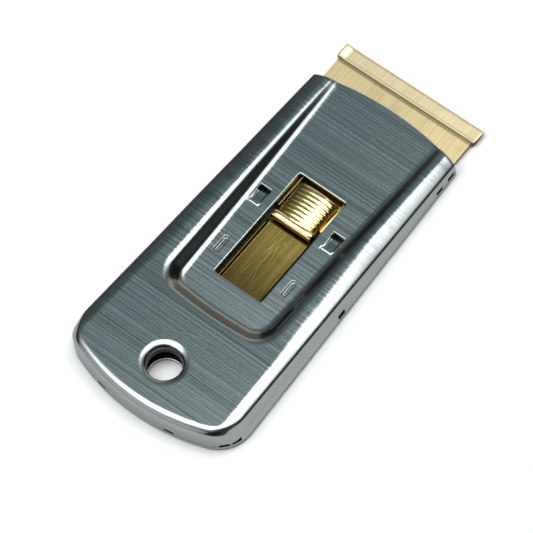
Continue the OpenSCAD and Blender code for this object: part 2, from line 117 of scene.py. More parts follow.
def outline(u, inset=0.0, pull=0.0):
    """A point of the housing's outline, moved inwards; the mouth's end is pulled back."""
    sign, u = folded(u)
    if u <= 1:
        start_x = FRONT_W / 2 - inset
        start = np.array([start_x, front_y(start_x) - pull])
        p = start + (turned(CORNER_CENTER, CORNER_R - inset, FLARE) - start) * u
    elif u <= 2:
        p = turned(CORNER_CENTER, CORNER_R - inset, FLARE + (CORNER_TURN - FLARE) * (u - 1))
    else:
        turn = CORNER_TURN + (-math.pi / 2 - CORNER_TURN) * (u - 2)
        p = turned(REAR_CENTER, REAR_EDGE_R - inset, turn)
    return np.array([sign * p[0], p[1]])


def spread(side, corner, rear):
    """Values of u with that many steps along each stretch of the right half, then mirrored."""
    half = np.concatenate([np.linspace(0, 1, side, endpoint=False),
                           np.linspace(1, 2, corner, endpoint=False), np.linspace(2, 3, rear + 1)])
    return np.concatenate([half, 6 - half[-2::-1]])


print("outline corners:", [np.round(outline(u), 2).tolist() for u in (0, 1, 2, 3)])

# %% Recess lines and the height of the rim
LIP = dict(start_w=33.6, end_w=32.8, length=64.1, r=6.6)
FOOT = dict(start_w=26.4, end_w=22.3, length=59.9, r=3.3)
RECESS_BOW = 0.4
FRONT_H, REAR_H, RIM_CREST = 4.2, 7.7, 0.4


def smooth(t):
    t = np.clip(t, 0, 1)
    return t * t * (3 - 2 * t)


def rim_z(y):
    """The sloping rim, with a slight crest beside the recess behind the mouth."""
    swell = (0.85 + 0.15 * smooth((MOUTH_Y - 0.4 - y) / 3)) * (1 - smooth((10 - y) / 34))
    return FRONT_H + (REAR_H - FRONT_H) / HOUSING_LEN * (MOUTH_Y - y) + RIM_CREST * swell


def recess(u, start_w, end_w, length, r, pull=0.0):
    """A point of a U-shaped line of the recess: its lip or the foot of its wall."""
    sign, u = folded(u)
    end_x, end_y = end_w / 2, MOUTH_Y - length
    if u <= 1:
        start = np.array([start_w / 2, front_y(start_w / 2) - pull])
        p = start + (np.array([end_x, end_y + r]) - start) * u
    elif u <= 2:
        p = turned(np.array([end_x - r, end_y + r]), r, -math.pi / 2 * (u - 1))
    else:
        x = (end_x - r) * (3 - u)
        p = np.array([x, end_y - RECESS_BOW * (1 - (x / (end_x - r)) ** 2)])
    return np.array([sign * p[0], p[1]])


print("rim heights:", [round(float(rim_z(y)), 2) for y in (MOUTH_Y, 10, REAR_Y)])

# %% [markdown]
# ## Sheet metal from a surface
#
# Each piece was stamped from a strip of metal and bent. A Solidify modifier with a Bevel
# could thicken a face, but it rounds every edge alike. `Surface` gathers the outer face of a
# sheet: grids of points, and flat patches that are triangulated round their holes and lifted
# by a height function. `thick_mesh` copies that face inwards and rolls each free edge by its
# own radius, so that a cut edge catches a thin line of light.


# %% Surfaces
def inside(points, loops):
    """True for points within an odd number of the closed loops."""
    hit = np.zeros(len(points), bool)
    x, y = points.T
    for loop in loops:
        for (ax, ay), (bx, by) in zip(loop, np.roll(loop, -1, axis=0)):
            if ay != by:
                hit ^= ((ay > y) != (by > y)) & (x < ax + (y - ay) * (bx - ax) / (by - ay))
    return hit


class Surface:
    def __init__(self):
        self.verts, self.faces = [], []

    def grid(self, rows, skip=None, flip=False):
        base, n = len(self.verts), len(rows[0])
        for row in rows:
            self.verts.extend(tuple(p) for p in row)
        for r in range(len(rows) - 1):
            for c in range(n - 1):
                if skip and skip(r, c):
                    continue
                a = base + r * n + c
                quad = (a, a + n, a + n + 1, a + 1)
                self.faces.append(quad[::-1] if flip else quad)

    def patch(self, loops, height, points, flip=False):
        coords, edges = [], []
        for loop in loops:
            first, n = len(coords), len(loop)
            coords += [Vector(p[:2]) for p in loop]
            edges += [(first + i, first + (i + 1) % n) for i in range(n)]
        spare = np.array([p for group in points for p in group]).reshape(-1, 2)
        coords += [Vector(p) for p in spare[inside(spare, loops)]]
        found, _, tris, *_ = delaunay_2d_cdt(coords, edges, [], 0, 1e-5, False)
        xy = np.array([v[:] for v in found])
        tris = np.array(tris)
        tris = tris[inside(xy[tris].mean(axis=1), loops)]
        base = len(self.verts)
        z = height(xy[:, 0], xy[:, 1])
        self.verts.extend(zip(xy[:, 0], xy[:, 1], z))
        self.faces.extend(tuple(int(i) + base for i in (t[::-1] if flip else t)) for t in tris)

    def to_bmesh(self):
        bm = bmesh.new()
        verts = [bm.verts.new(v) for v in self.verts]
        for f in self.faces:
            bm.faces.new([verts[i] for i in f])
        return bm


print("a new surface holds", vars(Surface()))


# %% Loops and rings of points
def round_box(x0, y0, x1, y1, r, step, grow=0.0):
    """A closed loop: a rectangle, grown on all sides, with rounded corners and points about a step apart."""
    x0, y0, x1, y1 = x0 - grow, y0 - grow, x1 + grow, y1 + grow
    loop = []
    for cx, cy, start in ((x1 - r, y1 - r, 0), (x0 + r, y1 - r, 90),
                          (x0 + r, y0 + r, 180), (x1 - r, y0 + r, 270)):
        loop += [turned(np.array([cx, cy]), r, math.radians(start + 90 * i / 6)) for i in range(7)]
    full = []
    for a, b in zip(loop, loop[1:] + loop[:1]):
        n = max(1, int(np.linalg.norm(b - a) / step + 0.5))
        full += [a + (b - a) * i / n for i in range(n)]
    return full


def circle(center, r, n):
    return [turned(np.asarray(center, float), r, 2 * math.pi * i / n) for i in range(n)]


def closed_ring(center, r, n, height):
    """A circle whose last point repeats the first, lifted by a height for each y."""
    ring = circle(center, r, n)
    return [(p[0], p[1], height(p[1])) for p in ring + ring[:1]]


def lattice(xs, ys):
    return [(x, y) for y in ys for x in xs]


print("a box's loop has", len(round_box(0, 0, 1, 1, 0.2, 0.8)), "points")

# %% Thickness and rolled edges
EDGE_TURNS, WELD, SHEET_SHARP = 3, 0.004, 75
QUARTER = [math.pi / 2 * i / EDGE_TURNS for i in range(EDGE_TURNS + 1)]


def to_mesh(name, bm, sharp=38):
    """A smooth-shaded mesh in metres from a bmesh in millimetres."""
    bmesh.ops.scale(bm, vec=(0.001, 0.001, 0.001), verts=bm.verts)
    mesh = bpy.data.meshes.new(name)
    bm.to_mesh(mesh)
    bm.free()
    mesh.polygons.foreach_set("use_smooth", [True] * len(mesh.polygons))
    mesh.set_sharp_from_angle(angle=math.radians(sharp))
    return mesh


def rolled_column(bm, v, n, outs, t, r):
    """New points from an edge vertex round to the inner skin, outwards along the mean of its edges."""
    mean = sum(outs, Vector()).normalized()
    mean = mean / max(0.6, mean.dot(outs[0]))
    mean = mean - n * mean.dot(n)
    roll = [(r * math.sin(a), r * (1 - math.cos(a))) for a in QUARTER[1:]]
    roll += [(r * math.cos(a), t - r * (1 - math.sin(a))) for a in QUARTER[:-1]]
    return [v] + [bm.verts.new(v.co + out * mean - down * n) for out, down in roll]


def thick_mesh(name, surface, t, radius):
    """A closed mesh: the surface, its copy t further in, and rolled edges of radius(point)."""
    bm = surface.to_bmesh()
    bmesh.ops.remove_doubles(bm, verts=bm.verts, dist=WELD)
    loose = [v for v in bm.verts if not v.link_faces]
    bmesh.ops.delete(bm, geom=loose, context="VERTS")
    bm.normal_update()
    skin = list(bm.faces)
    normals = {v: v.normal.copy() for v in bm.verts}
    inner = {v: bm.verts.new(v.co - t * n) for v, n in normals.items()}
    rolls, outward = [], {}
    for e in bm.edges:
        if e.is_boundary:
            loop = e.link_loops[0]
            a, b = loop.vert, loop.link_loop_next.vert
            out = (b.co - a.co).normalized().cross(loop.face.normal)
            rolls.append((a, b))
            outward.setdefault(a, []).append(out)
            outward.setdefault(b, []).append(out)
    columns = {v: rolled_column(bm, v, normals[v], outs, t, radius(v.co)) + [inner[v]]
               for v, outs in outward.items()}
    for f in skin:
        bm.faces.new([inner[v] for v in reversed(f.verts)])
    for a, b in rolls:
        ca, cb = columns[a], columns[b]
        for i in range(len(ca) - 1):
            bm.faces.new((cb[i], ca[i], ca[i + 1], cb[i + 1]))
    return to_mesh(name, bm, SHEET_SHARP)


print("a rolled edge has", 2 * EDGE_TURNS + 1, "bands")

# %% [markdown]
# ## Materials
#
# The real tool is brushed steel and worn brass: fine lines from an abrasive belt, a few
# scratches and stains, and shade where light doesn't reach, which is painted into the colour.
# Painted or photographed textures could show that. Noise in object coordinates needs no
# unwrapping and stays sharp from any side. All the metals share two node groups: `brush`
# stretches noise along one axis into parallel lines, and `scuffs` gives sparse, thin scratches.


# %% Node helpers
def node(tree, kind, **values):
    """A node with its properties set. in_NAME or in_NUMBER sets an input, or links it to a socket."""
    made = tree.nodes.new(kind)
    for key, value in values.items():
        if not key.startswith("in_"):
            setattr(made, key, value)
            continue
        label = key[3:].replace("_", " ")
        socket = made.inputs[int(label) if label.isdigit() else label]
        if isinstance(value, bpy.types.NodeSocket):
            tree.links.new(value, socket)
        else:
            socket.default_value = value
    return made


def maths(tree, operation, *inputs, clamp=False):
    """The output of a math node on values or sockets."""
    numbered = {f"in_{i}": value for i, value in enumerate(inputs)}
    return node(tree, "ShaderNodeMath", operation=operation, use_clamp=clamp, **numbered).outputs[0]


def remap(tree, value, low, high, to_low=0.0, to_high=1.0, kind="LINEAR"):
    """A value carried from one range to another and clamped."""
    return node(tree, "ShaderNodeMapRange", interpolation_type=kind, in_0=value, in_1=low, in_2=high,
                in_3=to_low, in_4=to_high).outputs[0]


def tinted(tree, amount, colour, other):
    """A colour socket mixed towards a fixed colour."""
    return node(tree, "ShaderNodeMix", data_type="RGBA", in_0=amount, in_6=colour, in_7=(*other, 1)).outputs[2]


def new_group(name, inputs, outputs):
    group = bpy.data.node_groups.new(name, "ShaderNodeTree")
    for label, value in inputs.items():
        kind = "NodeSocketVector" if isinstance(value, tuple) else "NodeSocketFloat"
        group.interface.new_socket(label, in_out="INPUT", socket_type=kind).default_value = value
    for label in outputs:
        group.interface.new_socket(label, in_out="OUTPUT", socket_type="NodeSocketFloat")
    return group, group.nodes.new("NodeGroupInput").outputs, group.nodes.new("NodeGroupOutput").inputs


print("node helpers: node, maths, remap, tinted, new_group")

# %% Node groups
OFF_LATTICE = (2.73, 2.73, 2.73)

brush, given, result = new_group("brush", dict(Scale=(60.0, 6000.0, 6000.0)), ["Fine", "Broad"])
coords = node(brush, "ShaderNodeTexCoord").outputs["Object"]
stretched = node(brush, "ShaderNodeVectorMath", operation="MULTIPLY_ADD", in_0=coords, in_1=given["Scale"],
                 in_2=OFF_LATTICE).outputs[0]
for label, scale, detail, rough in (("Fine", 0.55, 3.0, 0.6), ("Broad", 0.2, 2.0, 0.5)):
    noise = node(brush, "ShaderNodeTexNoise", in_Vector=stretched, in_Scale=scale, in_Detail=detail,
                 in_Roughness=rough)
    brush.links.new(noise.outputs[0], result[label])

scuffs, given, result = new_group("scuffs", dict(Scale=(120.0, 9000.0, 2000.0), Turn=0.3, Rarity=0.7), ["Line"])
coords = node(scuffs, "ShaderNodeTexCoord").outputs["Object"]
streaks = []
for flip in (1.0, -1.6):
    angle = maths(scuffs, "MULTIPLY", given["Turn"], flip)
    spun = node(scuffs, "ShaderNodeVectorRotate", rotation_type="Z_AXIS", in_Vector=coords, in_Angle=angle)
    stretched = node(scuffs, "ShaderNodeVectorMath", operation="MULTIPLY", in_0=spun.outputs[0],
                     in_1=given["Scale"]).outputs[0]
    noise = node(scuffs, "ShaderNodeTexNoise", in_Vector=stretched, in_Scale=1.0, in_Detail=1.0,
                 in_Distortion=0.4)
    over = maths(scuffs, "SUBTRACT", noise.outputs[0], given["Rarity"])
    streaks.append(maths(scuffs, "MULTIPLY", over, 14.0, clamp=True))
scuffs.links.new(maths(scuffs, "MAXIMUM", *streaks), result["Line"])
print("node groups:", brush.name, scuffs.name)

# %% [markdown]
# ## One recipe for every metal
#
# Brushing is done on flat strip, and the presses smear it where the sheet bends; shade in
# corners, slots and under other parts is painted into the colour. Pointiness or ambient occlusion
# could find such places, but both change with the mesh or the view. Each mesh carries two
# attributes instead: `level`, how level the skin lies, and a painted shade, which each piece
# works out from its own sizes.

# %% A metal's nodes
BROAD_SHARE = 0.16
GRAIN_BUMP, BUMP_M = 0.006, 0.00002
# The tint of the stains, and of the painted shade at a tenth of it.
STAIN_AND_SHADE_TINT = (0.6, 0.55, 0.5)


def metal(name, dark, light, rough, grain, scratch, scratch_bump=0.25, stain=0.0, edge_rough=0.0):
    """A brushed metal between two colours. scratch is the scale, turn and rarity of its scratches. Lines
    fade where the skin isn't level, edge_rough dulls gentle bends, stain clouds it, and a painted
    shade darkens it."""
    mat = bpy.data.materials.new(name)
    mat.use_nodes = True
    tree = mat.node_tree
    shader = tree.nodes["Principled BSDF"].inputs
    shader["Metallic"].default_value = 1.0
    shader["Specular Tint"].default_value = (0.7, 0.7, 0.7, 1)
    lines = node(tree, "ShaderNodeGroup", node_tree=brush, in_Scale=grain).outputs
    marks = node(tree, "ShaderNodeGroup", node_tree=scuffs, in_Scale=scratch[:3], in_Turn=scratch[3],
                 in_Rarity=scratch[4]).outputs["Line"]
    level = node(tree, "ShaderNodeAttribute", attribute_name="level").outputs["Fac"]
    painted_shade = node(tree, "ShaderNodeAttribute", attribute_name="painted_shade").outputs["Fac"]

    fine = maths(tree, "MULTIPLY", lines["Fine"], 1 - BROAD_SHARE)
    both = maths(tree, "MULTIPLY_ADD", lines["Broad"], BROAD_SHARE, fine)
    flat = remap(tree, level, 0.94, 0.992, kind="SMOOTHSTEP")
    calm = node(tree, "ShaderNodeMix", in_0=flat, in_2=0.5, in_3=both).outputs[0]
    ramp = node(tree, "ShaderNodeValToRGB", in_0=calm)
    for stop, at, shade in zip(ramp.color_ramp.elements, (0.36, 0.64), (dark, light)):
        stop.position, stop.color = at, (*shade, 1)
    colour = ramp.outputs[0]
    stain_and_shade = [d * t for d, t in zip(dark, STAIN_AND_SHADE_TINT)]
    if stain:
        coords = node(tree, "ShaderNodeTexCoord").outputs["Object"]
        cloud = node(tree, "ShaderNodeTexNoise", in_Vector=coords, in_Scale=220.0, in_Detail=3.0).outputs[0]
        colour = tinted(tree, remap(tree, cloud, 0.55, 0.72, 0.0, stain), colour, stain_and_shade)
    colour = tinted(tree, marks, colour, [min(1.0, c * 1.2) for c in light])
    # Painted shade: the colour darkens where a piece marks its shaded places.
    colour = tinted(tree, painted_shade, colour, [0.1 * d for d in stain_and_shade])
    tree.links.new(colour, shader["Base Color"])

    gloss = remap(tree, calm, 0.3, 0.7, rough * 0.92, rough * 1.1)
    bent = maths(tree, "MULTIPLY_ADD", remap(tree, level, 0.972, 0.9985, kind="SMOOTHSTEP"),
                 -edge_rough, edge_rough)
    gentle = remap(tree, level, 0.72, 0.9, kind="SMOOTHSTEP")
    gloss = maths(tree, "MULTIPLY_ADD", bent, gentle, gloss)
    tree.links.new(maths(tree, "MULTIPLY_ADD", marks, 0.08, gloss), shader["Roughness"])
    bump = node(tree, "ShaderNodeBump", in_Strength=GRAIN_BUMP, in_Distance=BUMP_M, in_Height=lines["Fine"])
    cut = node(tree, "ShaderNodeBump", invert=True, in_Strength=scratch_bump, in_Distance=BUMP_M,
               in_Height=marks, in_Normal=bump.outputs[0])
    tree.links.new(cut.outputs[0], shader["Normal"])
    return mat


print("grain bump:", GRAIN_BUMP, "of", BUMP_M, "m")

# %% The metals
ACROSS, LENGTHWISE = (14.0, 6000.0, 14.0), (6000.0, 14.0, 14.0)
metals = {name: metal(name, *looks, **extra) for name, *looks, extra in (
    ("housing_steel", (0.215, 0.235, 0.235), (0.415, 0.44, 0.44), 0.18, ACROSS, (25, 9000, 25, 0.22, 0.74),
     dict(scratch_bump=0.05, edge_rough=0.1)),
    ("base_steel", (0.26, 0.28, 0.28), (0.43, 0.455, 0.455), 0.26, ACROSS, (25, 9000, 25, 0.3, 0.74), {}),
    ("carrier_brass", (0.36, 0.24, 0.06), (0.6, 0.405, 0.12), 0.2, LENGTHWISE, (9000, 60, 25, 0.12, 0.69),
     dict(scratch_bump=0.1, stain=0.4)),
    ("button_brass", (0.86, 0.63, 0.23), (0.98, 0.76, 0.34), 0.14, LENGTHWISE, (9000, 60, 25, 0.3, 0.75), {}),
    ("rivet_brass", (0.6, 0.46, 0.2), (0.78, 0.63, 0.32), 0.2, ACROSS, (1000, 3000, 25, 0.5, 0.7), {}),
    ("blade_steel", (0.62, 0.485, 0.26), (0.74, 0.585, 0.33), 0.36, LENGTHWISE, (9000, 60, 25, 0.1, 0.72),
     dict(stain=0.25)),
    ("spine_metal", (0.68, 0.56, 0.335), (0.8, 0.67, 0.42), 0.36, LENGTHWISE, (9000, 60, 25, 0.1, 0.72),
     dict(stain=0.15)))}
print("materials:", ", ".join(metals))


# %% A piece of the part
def add_piece(name, mesh, body, node, slot, painted_shade=None):
    """A piece with its ride and slot, and two attributes for its metal: how level it lies, and its painted shade.
    """
    mesh.materials.clear()
    mesh.materials.append(metals[slot])
    normals = np.empty(3 * len(mesh.vertices), np.float32)
    mesh.vertex_normals.foreach_get("vector", normals)
    places = np.empty(3 * len(mesh.vertices), np.float32)
    mesh.vertices.foreach_get("co", places)
    level = np.abs(normals[2::3])
    amount = painted_shade(*(1000 * places.reshape(-1, 3).T)) if painted_shade else 0 * level
    for label, values in (("level", level), ("painted_shade", amount)):
        made = mesh.attributes.new(label, "FLOAT", "POINT")
        made.data.foreach_set("value", np.asarray(values, np.float32))
    obj = bpy.data.objects.new(name, mesh)
    scene.collection.objects.link(obj)
    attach(obj, body)
    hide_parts(node)
    print(name, len(mesh.vertices), "vertices,", len(mesh.polygons), "faces")


# %% [markdown]
# ## The shell
#
# The upper half of the housing is one pressed sheet. From the seam it rises, rounds over into
# a sloping rim, and sinks again to the panel. It could be sculpted or cut with booleans, but
# its highlights need an even mesh that follows the bends. So everything that bends is a grid,
# while the rim and the panel, each nearly a plane with holes, are triangulated patches.

# %% Shell: the slots in its seam
SHEET_T, SEAM_Z = 0.8, 1.5
MOUTH_R, SEAM_R = 0.2, 0.12
CRIMP_LEN, CRIMP_H = 2.2, 0.85
REAR_CRIMP_ANGLE, CORNER_CRIMPS, SIDE_SLOTS = 10.5, (0.35, 0.62), (0.0204, 0.0691, 0.489)
side_len = np.linalg.norm(outline(1) - outline(0))
corner_len = CORNER_R * abs(CORNER_TURN - FLARE)
rear_turn = abs(-math.pi / 2 - CORNER_TURN)
crimps = [(share * HOUSING_LEN / side_len, side_len) for share in SIDE_SLOTS]
crimps += [(1 + share, corner_len) for share in CORNER_CRIMPS]
crimps.append((3 - math.radians(REAR_CRIMP_ANGLE) / rear_turn, REAR_EDGE_R * rear_turn))
us, slots = list(spread(48, 26, 22)), []
for middle, speed in crimps:
    reach = (CRIMP_LEN / 2 + SEAM_R) / speed
    for centre in (middle, 6 - middle):
        slots.append((centre - reach, centre + reach))
        us = [u for u in us if not centre - reach * 1.15 < u < centre + reach * 1.15]
        us += [centre + reach * k / 4 for k in range(-4, 5)]
us = sorted(us)
print("wall:", len(us), "columns,", len(slots), "slots")

# %% Shell: the section of its edge
REAR_ROUND, TOP_TILT = 2.25, 18


def edge_profile(u):
    """Insets and drops below the rim, from the outline in to the rim: a soft crown, a bend and a leaning
    wall along the sides, and a plain round along the rear. The tilt is set at each inset and summed."""
    side_u = folded(u)[1]
    rear = float(smooth((side_u - 1.1) / 0.8))
    x, y = outline(u)
    share = (MOUTH_Y - y) / HOUSING_LEN
    lip_gap = abs(x) - abs(recess(side_u, **LIP)[0]) if side_u < 1 else 9.0
    crown = min(np.interp(y, [-25, -15], [4.4, 5.0]), lip_gap - 0.08) * (1 - rear) + REAR_ROUND * rear
    bend, wall, lean = 1.05 + 1.2 * share, 0.25 + 1.0 * share, 76 + 4 * share
    fine = np.linspace(0, crown, 241)
    swell = np.interp(y, [-45, -30, -8, 12, 40], [0.6, 0.6, 0.95, 0.45, 0.45])
    top = TOP_TILT * np.clip((crown - fine) / (crown - bend), 0, 1) ** swell
    turn = TOP_TILT + (lean - TOP_TILT) * smooth((bend - fine) / (bend - wall))
    side = np.where(fine > bend, top, turn)
    end = np.degrees(np.arcsin(np.clip(1 - fine / REAR_ROUND, 0, 0.985)))
    slope = np.tan(np.radians(side * (1 - rear) + rear * end))
    steps = (slope[1:] + slope[:-1]) / 2 * (fine[1] - fine[0])
    fall = np.concatenate([np.cumsum(steps[::-1])[::-1], [0.0]])
    insets = np.concatenate([np.linspace(0, 2, 12, endpoint=False), np.linspace(2, crown, 9)])
    return insets, np.interp(insets, fine, fall)


def edge_column(u):
    """The outer skin's points: the foot at the seam, the head of the slots, then up onto the rim."""
    points = []
    for inset, drop in zip(*edge_profile(u)):
        x, y = outline(u, inset, MOUTH_R)
        points.append((x, y, rim_z(y) - drop))
    xs, ys, zs = np.array(points).T
    head = SEAM_Z + CRIMP_H + SEAM_R
    foot = (*outline(u, 0, MOUTH_R), SEAM_Z + SEAM_R)
    above = [p for p in points if p[2] > head + 0.12]
    return [foot, (np.interp(head, zs, xs), np.interp(head, zs, ys), head)] + above


print("points above the seam:", [len(edge_column(u)) for u in (0, 1, 2, 3)])

# %% Shell: the wall and its rounded edge
EDGE_ROWS = 22
edge_rows = [[] for _ in range(EDGE_ROWS + 2)]
for u in us:
    foot, *chain = edge_column(u)
    chain = np.array(chain)
    run = np.concatenate([[0], np.cumsum(np.linalg.norm(np.diff(chain, axis=0), axis=1))])
    edge_rows[0].append(foot)
    for row, d in zip(edge_rows[1:], np.linspace(0, run[-1], EDGE_ROWS + 1)):
        row.append(tuple(np.interp(d, run, chain[:, k]) for k in range(3)))


def in_slot(row, col):
    middle = (us[col] + us[col + 1]) / 2
    return row == 0 and any(a < middle < b for a, b in slots)


shell = Surface()
shell.grid(edge_rows, skip=in_slot)
print("wall:", len(shell.faces), "faces")

# %% Shell: the recess wall
PANEL_Z, LIP_ROWS = 3.9, 26
lip_us = list(spread(60, 30, 26))


def sunk_share(share, fall):
    """How far the wall has sunk at a share of its width: two long bends and a steep part between them,
    for a wall that falls by that much per unit of width."""
    t = np.linspace(0, 1, 201)
    upper, lower = 0.3, float(np.interp(fall, [0.28, 0.5], [0.32, 0.2]))
    bends = np.clip(np.minimum(t / upper, (1 - t) / lower), 0, 1)
    middle, reach = (1 + upper - lower) / 2, (1 - upper - lower) / 2
    steep = np.where(np.abs(t - middle) < reach, np.cos(math.pi / 2 * (t - middle) / reach) ** 0.7, 0)
    b = min(0.32, 0.8 * fall)
    slope = b * bends + (fall - b * bends.mean()) / steep.mean() * steep
    total = np.concatenate([[0], np.cumsum((slope[1:] + slope[:-1]) / 2)])
    return float(np.interp(share, t, total / total[-1]))


def lip_point(u, share):
    lip, foot = recess(u, **LIP, pull=MOUTH_R), recess(u, **FOOT, pull=MOUTH_R)
    p = lip + (foot - lip) * share
    share = min(1.0, max(0.0, share))
    round_share = (1 - math.cos(math.pi * share)) / 2
    rear = float(smooth((folded(u)[1] - 1.1) / 0.9))
    fall = (rim_z(lip[1]) - PANEL_Z) / np.linalg.norm(foot - lip)
    sunk = round_share * rear + sunk_share(share, fall) * (1 - rear)
    return p[0], p[1], rim_z(p[1]) * (1 - sunk) + PANEL_Z * sunk


shell.grid([[lip_point(u, j / LIP_ROWS) for u in lip_us] for j in range(LIP_ROWS + 1)])
print("recess wall:", LIP_ROWS + 1, "rows of", len(lip_us))

# %% Shell: the rim with the hang hole
HOLE_Y, HOLE_R, HOLE_FLARE, COLLAR_H, HOLE_N = -39.65, 4.0, 1.9, 2.4, 96
FLARE_BEND_R, FLARE_TILT = 4.55, 24
SUPPORT = 0.15
hole, flare_r = (0, HOLE_Y), HOLE_R + HOLE_FLARE
rim_outer, below = ([np.array(p[:2]) for p in edge_rows[k]] for k in (-1, -2))
rim_inner = [lip_point(u, 0)[:2] for u in lip_us]
support = [[p + SUPPORT * (p - q) / max(1e-6, math.dist(p, q)) for p, q in zip(rim_outer, below)],
           [np.array(lip_point(u, -0.04)[:2]) for u in lip_us], circle(hole, flare_r + SUPPORT, HOLE_N)]
shell.patch([rim_outer + rim_inner[::-1], circle(hole, flare_r, HOLE_N)], lambda x, y: rim_z(y), support)

flare_at = np.linspace(flare_r, HOLE_R, 121)
flare_tilt = np.where(flare_at > FLARE_BEND_R,
                      FLARE_TILT * ((flare_r - flare_at) / (flare_r - FLARE_BEND_R)) ** 1.1,
                      FLARE_TILT + 60 * smooth((FLARE_BEND_R - flare_at) / 0.55))
flare_fall = np.concatenate([[0], np.cumsum(np.tan(np.radians(flare_tilt[1:])) * -np.diff(flare_at))])
flare_rows = list(zip(flare_at[::8], flare_fall[::8])) + [(HOLE_R, COLLAR_H + 0.6)]
shell.grid([closed_ring(hole, r, HOLE_N, lambda y: rim_z(y) - deep) for r, deep in flare_rows], flip=True)
print("hang hole:", len(flare_rows), "rings")

# %% Shell: the panel with its window, tabs and dimples
WINDOW_X, WINDOW_FRONT, WINDOW_REAR, WINDOW_R = 6.55, 16.946, -14.147, 0.22
TAB_IN, TAB_OUT, TAB_FRONT, TAB_FREE, TAB_ROOT = 8.85, 11.85, 9.541, 8.2, 4.441
TAB_SINK, TAB_RAMP, CREASE, SLOT_R = 0.26, 3.4, 0.07, 0.16
DIMPLE_X, DIMPLE_FRONT, DIMPLE_LEN, DIMPLE_W, DIMPLE_DEEP, DIMPLE_FLAT = 9.5, -5.358, 4.9, 1.65, 0.45, 0.42
tab_mid, tab_half = (TAB_IN + TAB_OUT) / 2, (TAB_OUT - TAB_IN) / 2


def panel_height(x, y):
    """The panel, with the stop tabs' troughs, the creases at their roots, and the capsule dimples."""
    x = np.abs(x)
    trough = TAB_SINK * smooth((y - TAB_ROOT) / TAB_RAMP) * (y < TAB_FRONT)
    z = PANEL_Z - trough * smooth((tab_half - np.abs(x - tab_mid)) / 0.5)
    rear = np.hypot(x - np.clip(x, TAB_IN, TAB_OUT), y - TAB_ROOT)
    sides = np.hypot(np.abs(x - tab_mid) - tab_half, y - np.clip(y, TAB_ROOT, TAB_ROOT + 0.5))
    z = z - CREASE * np.exp(-(np.minimum(rear, sides) / 0.2) ** 2)
    end = DIMPLE_W / 2
    axis_y = np.clip(y, DIMPLE_FRONT - DIMPLE_LEN + end, DIMPLE_FRONT - end)
    away = np.hypot(x - DIMPLE_X, y - axis_y)
    return z - DIMPLE_DEEP * (1 - smooth((away - DIMPLE_FLAT) / (end - DIMPLE_FLAT)))


def mouth_line(half):
    return [(x, float(front_y(x)) - MOUTH_R) for x in np.linspace(-half, half, 65)[1:-1]]


window_box = (-WINDOW_X, WINDOW_REAR, WINDOW_X, WINDOW_FRONT)
slot_box = (TAB_IN, TAB_FREE, TAB_OUT, TAB_FRONT)
foot_line = [lip_point(u, 1)[:2] for u in lip_us]
front_line = mouth_line(FOOT["start_w"] / 2)
loops = [foot_line + front_line, round_box(*window_box, 0.45 + WINDOW_R, 0.8, grow=WINDOW_R)]
fine_points = [round_box(*window_box, 0.6 + WINDOW_R, 0.8, grow=WINDOW_R + SUPPORT),
               [(x, y - SUPPORT) for x, y in front_line], [lip_point(u, 1.03)[:2] for u in lip_us]]
tab_points = lattice(np.arange(TAB_IN - 0.48, TAB_OUT + 0.49, 0.06), np.arange(TAB_ROOT - 0.5, TAB_FREE - 0.2, 0.1))
dimple_points = lattice(np.arange(DIMPLE_X - 1, DIMPLE_X + 1.01, 0.07),
                        np.arange(DIMPLE_FRONT - DIMPLE_LEN - 0.2, DIMPLE_FRONT + 0.21, 0.08))
for side in (-1, 1):
    loop = round_box(*slot_box, 0.3, 0.12, grow=SLOT_R)
    loops.append([(side * x, y) for x, y in loop][::side])
    for group in (round_box(*slot_box, 0.38, 0.12, grow=SLOT_R + 0.1), tab_points, dimple_points):
        fine_points.append([(side * x, y) for x, y in group])
shell.patch(loops, panel_height, fine_points)
print("panel:", sum(map(len, fine_points)), "points inside its loops")


# %% Shell: edges, dirt and the finished piece
def shell_radius(p):
    if p.z < SEAM_Z + CRIMP_H + 2 * SEAM_R and p.y < float(front_y(p.x)) - 1.2 * MOUTH_R:
        return SEAM_R if p.z < SEAM_Z + 2 * SEAM_R else 0.05
    if abs(p.x) < WINDOW_X + 1 and abs(p.y) < WINDOW_FRONT + 1:
        return WINDOW_R
    if TAB_FREE - 1 < p.y < TAB_FRONT + 1:
        return SLOT_R if p.y > TAB_FRONT else 0.05
    return MOUTH_R


def hole_painted_shade(x, y, z):
    """Painted shade in the collar of the hang hole, below its rounded rim."""
    near = np.hypot(x, y - HOLE_Y) < HOLE_R + SHEET_T + 0.1
    return near * smooth((rim_z(y) - 0.75 - z) / 0.3)


add_piece("shell_sheet", thick_mesh("shell_sheet", shell, SHEET_T, shell_radius), "housing", "top_shell",
          "housing_steel", hole_painted_shade)

# %% [markdown]
# ## The base plate and its crimped tabs
#
# The flat lower half closes the housing: its edge turns up to the seam, and small tabs of it
# are bent over inside the shell's slots. The plate is one more sheet. The tabs could be copied
# by hand or by an Array modifier, but they sit at odd places and angles, so Geometry Nodes
# puts instances of one tab on marked points.

# %% Base plate
BASE_T, BASE_EDGE = 0.7, 0.5
base_us = list(spread(40, 26, 22))
rows = [[(*outline(u, 0, MOUTH_R), SEAM_Z - SEAM_R) for u in base_us]]
for i in range(7):
    phi = math.pi / 2 * i / 6
    rows.append([(*outline(u, BASE_EDGE * (1 - math.cos(phi)), MOUTH_R), BASE_EDGE * (1 - math.sin(phi)))
                 for u in base_us])
base = Surface()
base.grid(rows, flip=True)
under = [p[:2] for p in rows[-1]]
base.patch([under + mouth_line(under[0][0]), circle(hole, HOLE_R + MOUTH_R, HOLE_N)], lambda x, y: 0 * x,
           [[outline(u, BASE_EDGE + SUPPORT, MOUTH_R + SUPPORT) for u in base_us],
            circle(hole, HOLE_R + MOUTH_R + SUPPORT, HOLE_N)], flip=True)
